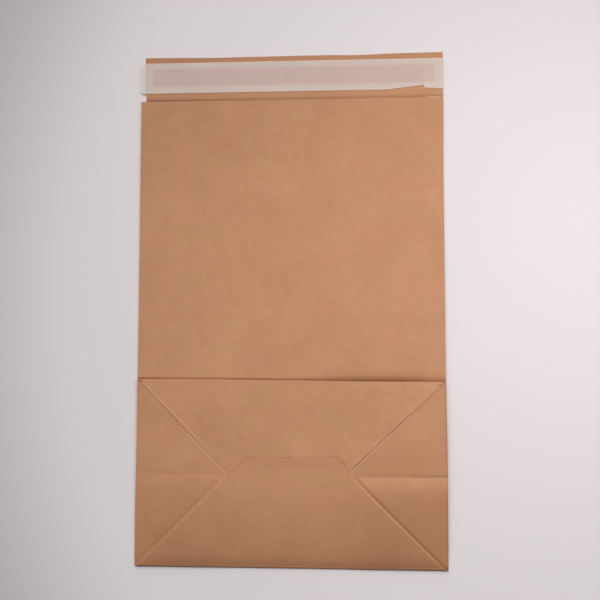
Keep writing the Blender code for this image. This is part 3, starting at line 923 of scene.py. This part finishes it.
def mark(tree, vector, place, radius):
    """1 at a place, fading to 0 at a radius round it."""
    apart = tree.nodes.new("ShaderNodeVectorMath")
    apart.operation = "DISTANCE"
    tree.links.new(vector, apart.inputs[0])
    apart.inputs[1].default_value = place
    near = tree.nodes.new("ShaderNodeMapRange")
    near.interpolation_type = "SMOOTHSTEP"
    near.inputs["From Min"].default_value = radius
    near.inputs["From Max"].default_value = 0.3 * radius
    tree.links.new(apart.outputs["Value"], near.inputs["Value"])
    return near.outputs["Result"]


def kraft_colour(share):
    """Kraft at a share of its plain lightness. The darker it is, the redder."""
    red, green, blue = KRAFT
    return red * share, green * share**1.3, blue * share**1.6


def kraft_material():
    material, tree = new_material("kraft")
    shader = tree.nodes["Principled BSDF"]
    even = sheet_places(tree, (1, 1, LAYERS_APART))
    along = sheet_places(tree, (1, 0.12, LAYERS_APART))
    askew = sheet_places(tree, (0.25, 1, LAYERS_APART))
    shade = blotches(tree, (
        (even, 38 * MM, 2, 0.5, 0.15),
        (even, 9 * MM, 3, 0.6, 0.16),
        (even, 1.8 * MM, 2, 0.6, 0.09),
        (along, 0.5 * MM, 2, 0.6, 0.075),
        (askew, 0.7 * MM, 2, 0.6, 0.06),
    ))
    dark = specks(tree, even, 26 * MM, 0.9 * MM, 0.5)
    shade = math_node(tree, "MULTIPLY_ADD", dark, -DARK_SPECK, shade)
    pale = specks(tree, along, 17 * MM, 0.7 * MM, 0.4)
    shade = math_node(tree, "MULTIPLY_ADD", pale, PALE_SPECK, shade)
    for layer, x, y, radius, depth in MARKS:
        place = (x, y, LEVEL[layer] * PITCH * LAYERS_APART)
        darker_spot = mark(tree, even, place, radius)
        shade = math_node(tree, "MULTIPLY_ADD", darker_spot, -depth, shade)
    # the tone attribute carries the painted light and shade by the folds and edges
    tone = tree.nodes.new("ShaderNodeAttribute")
    tone.attribute_name = "tone"
    lightness = math_node(tree, "ADD", shade, 1)
    lightness = math_node(tree, "MULTIPLY", lightness, tone.outputs["Fac"])
    half = math_node(tree, "MULTIPLY", lightness, 0.5)
    stops = [(share / 2, kraft_colour(share)) for share in (0.2, 0.5, 0.8, 1, 1.3, 1.8)]
    colour = colour_ramp(tree, half, stops)
    patches = blotches(tree, ((even, 24 * MM, 3, 0.6, 1), (even, 5 * MM, 2, 0.5, 0.6)))
    patches = math_node(tree, "ADD", patches, 0.5)
    cast = colour_ramp(tree, patches, ((0.25, (0.98, 1.03, 0.98)), (0.75, (1.02, 0.97, 1.02))))
    tree.links.new(vector_node(tree, "MULTIPLY", colour, cast), shader.inputs["Base Color"])
    rough = math_node(tree, "MULTIPLY_ADD", shade, -0.3, 0.8)
    tree.links.new(rough, shader.inputs["Roughness"])
    fibres = noise(tree, along, 0.4 * MM, 3, 0.7)
    grain = math_node(tree, "MULTIPLY_ADD", fibres, 0.5, noise(tree, even, 2.5 * MM, 3, 0.6))
    bump(tree, shader, grain, 0.17, 0.06 * MM)
    return material


def liner_material():
    """Glassine: see-through a little, darker where the adhesive wets it, paler past the lip where the floor's
    light through it is painted in, and with painted highlights along its long cut edges.
    """
    material, tree = new_material("glassine")
    shader = tree.nodes["Principled BSDF"]
    shader.inputs["Alpha"].default_value = LINER_OPACITY
    even = sheet_places(tree, (1, 1, 1))
    along = sheet_places(tree, (0.08, 1, 1))
    place = tree.nodes.new("ShaderNodeSeparateXYZ")
    tree.links.new(even, place.inputs["Vector"])
    x, y = place.outputs["X"], place.outputs["Y"]
    wet_across = soft_band(tree, x, ADHESIVE_LEFT, ADHESIVE_RIGHT, 1.8 * MM)
    wet_upwards = soft_band(tree, y, ADHESIVE_BOTTOM, ADHESIVE_TOP, 2.2 * MM)
    wet = math_node(tree, "MULTIPLY", wet_across, wet_upwards)
    patches = blotches(tree, ((even, 16 * MM, 3, 0.6, 0.5), (even, 4 * MM, 2, 0.5, 0.25)))
    wet = math_node(tree, "MULTIPLY_ADD", math_node(tree, "MULTIPLY", wet, patches), 0.8, wet)
    # paler where the liner hangs past the lip: the floor's light through it is painted in
    off_lip = soft_band(tree, x, LINER_LEFT - 5 * MM, -SIDE + LIP_INSET_END, 0.6 * MM)
    backed = math_node(tree, "SUBTRACT", wet, off_lip)
    backed = math_node(tree, "MULTIPLY_ADD", backed, 0.5, 0.5)
    stops = ((0, (0.86, 0.77, 0.75)), (0.5, (0.81, 0.675, 0.597)), (1, (0.77, 0.565, 0.505)))
    colour = colour_ramp(tree, backed, stops)
    shade = blotches(tree, (
        (even, 30 * MM, 2, 0.5, 0.1),
        (even, 6 * MM, 2, 0.5, 0.08),
        (along, 0.6 * MM, 2, 0.5, 0.05),
    ))
    shade = math_node(tree, "ADD", shade, 1)
    # painted highlights along the top and bottom cut edges; the lower margin a little paler
    for low, high, blur, paler in (
        (LINER_TOP - 0.8 * MM, LINER_TOP + 5 * MM, 0.4 * MM, 0.07),
        (LINER_BOTTOM - 5 * MM, LINER_BOTTOM + 0.8 * MM, 0.4 * MM, 0.07),
        (LINER_BOTTOM - 5 * MM, ADHESIVE_BOTTOM, 3 * MM, 0.02),
    ):
        band = soft_band(tree, y, low, high, blur)
        shade = math_node(tree, "MULTIPLY_ADD", band, paler, shade)
    over_seam = soft_band(tree, x, SEAM_FLAP_EDGE, LINER_RIGHT + 5 * MM, 0.5 * MM)
    shade = math_node(tree, "MULTIPLY_ADD", over_seam, 0.04, shade)
    tree.links.new(scaled_colour(tree, colour, shade), shader.inputs["Base Color"])
    tree.links.new(math_node(tree, "MULTIPLY_ADD", patches, 0.3, 0.45), shader.inputs["Roughness"])
    buckles = noise(tree, sheet_places(tree, (1, 0.5, 1)), 11 * MM, 2, 0.5)
    bump(tree, shader, buckles, 0.3, 0.25 * MM)
    return material


def film_material(name, dark, pale, size, roughness):
    """A dried or tacky film, laid down in streaks across the bag."""
    material, tree = new_material(name)
    shader = tree.nodes["Principled BSDF"]
    streaked = sheet_places(tree, (0.2, 1, 1))
    uneven = noise(tree, streaked, size, 3, 0.6)
    tree.links.new(colour_ramp(tree, uneven, ((0.3, dark), (0.7, pale))), shader.inputs["Base Color"])
    rough = math_node(tree, "MULTIPLY_ADD", uneven, 0.3, roughness - 0.15)
    tree.links.new(rough, shader.inputs["Roughness"])
    bump(tree, shader, uneven, 0.4, 0.05 * MM)
    return material


def floor_material():
    """A pale sheet with a faint tooth, with a painted pool of light round a place to the right and painted
    shade away from it.
    """
    material, tree = new_material("floor")
    shader = tree.nodes["Principled BSDF"]
    place = tree.nodes.new("ShaderNodeTexCoord").outputs["Object"]
    tooth = noise(tree, place, 3 * MM, 3, 0.6)
    warm = colour_ramp(tree, tooth, ((0.2, (0.745, 0.688, 0.694)), (0.8, (0.77, 0.711, 0.717))))
    # painted pool of light, falling to painted shade away from it
    offset = vector_node(tree, "SUBTRACT", place, (FLOOR_MIDDLE, 0, 0))
    squeezed = vector_node(tree, "MULTIPLY", offset, (1, 0.75, 1))
    away = tree.nodes.new("ShaderNodeVectorMath")
    away.operation = "LENGTH"
    tree.links.new(squeezed, away.inputs[0])
    fading = tree.nodes.new("ShaderNodeMapRange")
    fading.interpolation_type = "SMOOTHSTEP"
    fading.inputs["From Min"].default_value, fading.inputs["To Min"].default_value = FLOOR_EVEN
    fading.inputs["From Max"].default_value, fading.inputs["To Max"].default_value = FLOOR_FADED
    tree.links.new(away.outputs["Value"], fading.inputs["Value"])
    tree.links.new(scaled_colour(tree, warm, fading.outputs["Result"]), shader.inputs["Base Color"])
    shader.inputs["Roughness"].default_value = 0.8
    return material


def make_floor():
    bpy.ops.mesh.primitive_plane_add(size=FLOOR_SIZE, location=(0, 0, -0.1 * MM))
    floor = bpy.context.object
    floor.name = "floor"
    floor.data.materials.append(floor_material())


def make_camera():
    camera = add_object("camera", bpy.data.cameras.new("camera"))
    camera.data.lens = LENS
    camera.data.sensor_width = SENSOR_WIDTH
    turn = Euler([math.radians(angle) for angle in CAMERA_TURN], "XYZ").to_matrix().transposed()
    camera.matrix_world = Matrix.Translation(CAMERA_PLACE) @ turn.to_4x4()
    camera.data.clip_start = 0.01
    bpy.context.scene.camera = camera


def make_lights():
    world = bpy.data.worlds.new("studio")
    bpy.context.scene.world = world
    world.use_nodes = True
    background = world.node_tree.nodes["Background"]
    background.inputs["Color"].default_value = (1, 1, 1, 1)
    background.inputs["Strength"].default_value = ROOM_STRENGTH

    window = bpy.data.lights.new("window", "SUN")
    window.energy = WINDOW_STRENGTH
    window.angle = math.radians(WINDOW_SPREAD)
    lamp = add_object("window", window)
    azimuth = math.radians(WINDOW_AZIMUTH)
    elevation = math.radians(WINDOW_ELEVATION)
    level = math.cos(elevation)
    towards = Vector((math.sin(azimuth) * level, math.cos(azimuth) * level, math.sin(elevation)))
    lamp.rotation_euler = towards.to_track_quat("Z", "Y").to_euler()

    side = bpy.data.lights.new("side", "AREA")
    side.energy = SIDE_LAMP_POWER
    side.size = SIDE_LAMP_SIZE
    lamp = add_object("side", side)
    lamp.location = SIDE_LAMP_PLACE
    lamp.rotation_euler = Vector(lamp.location).to_track_quat("Z", "Y").to_euler()
    lamp.visible_camera = False


make_camera()
kraft = kraft_material()
paper = make_paper_bag(kraft)
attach(paper, "root")
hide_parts("paper_bag")

liner = make_liner(liner_material())
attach(liner, "root")
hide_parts("release_liner")

adhesive = make_adhesive(film_material("adhesive", (0.45, 0.29, 0.21), (0.55, 0.37, 0.29), 4 * MM, 0.35))
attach(adhesive, "root")
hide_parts("closure_adhesive")

glue = film_material("glue", (0.74, 0.65, 0.48), (0.84, 0.77, 0.62), 2 * MM, 0.5)
side_glue = glue_film(
    "side_glue",
    SEAM_FLAP_EDGE + GLUE_MARGIN,
    SIDE - GLUE_MARGIN,
    GLUE_MARGIN,
    LIP_END - GLUE_MARGIN,
    LEVEL["seam_flap"] / 2,
    glue,
)
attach(side_glue, "root")
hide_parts("side_seam_glue")
flap_glue = glue_film(
    "flap_glue",
    -FLAP_TIP + GLUE_MARGIN,
    FLAP_TIP - GLUE_MARGIN,
    UPPER_FLAP_END + GLUE_MARGIN,
    FLAP_LENGTH - GLUE_MARGIN,
    (LEVEL["upper_flap"] + LEVEL["lower_flap"]) / 2,
    glue,
)
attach(flap_glue, "root")
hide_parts("bottom_glue")

make_floor()
make_lights()
bpy.context.scene.view_settings.view_transform = "Standard"
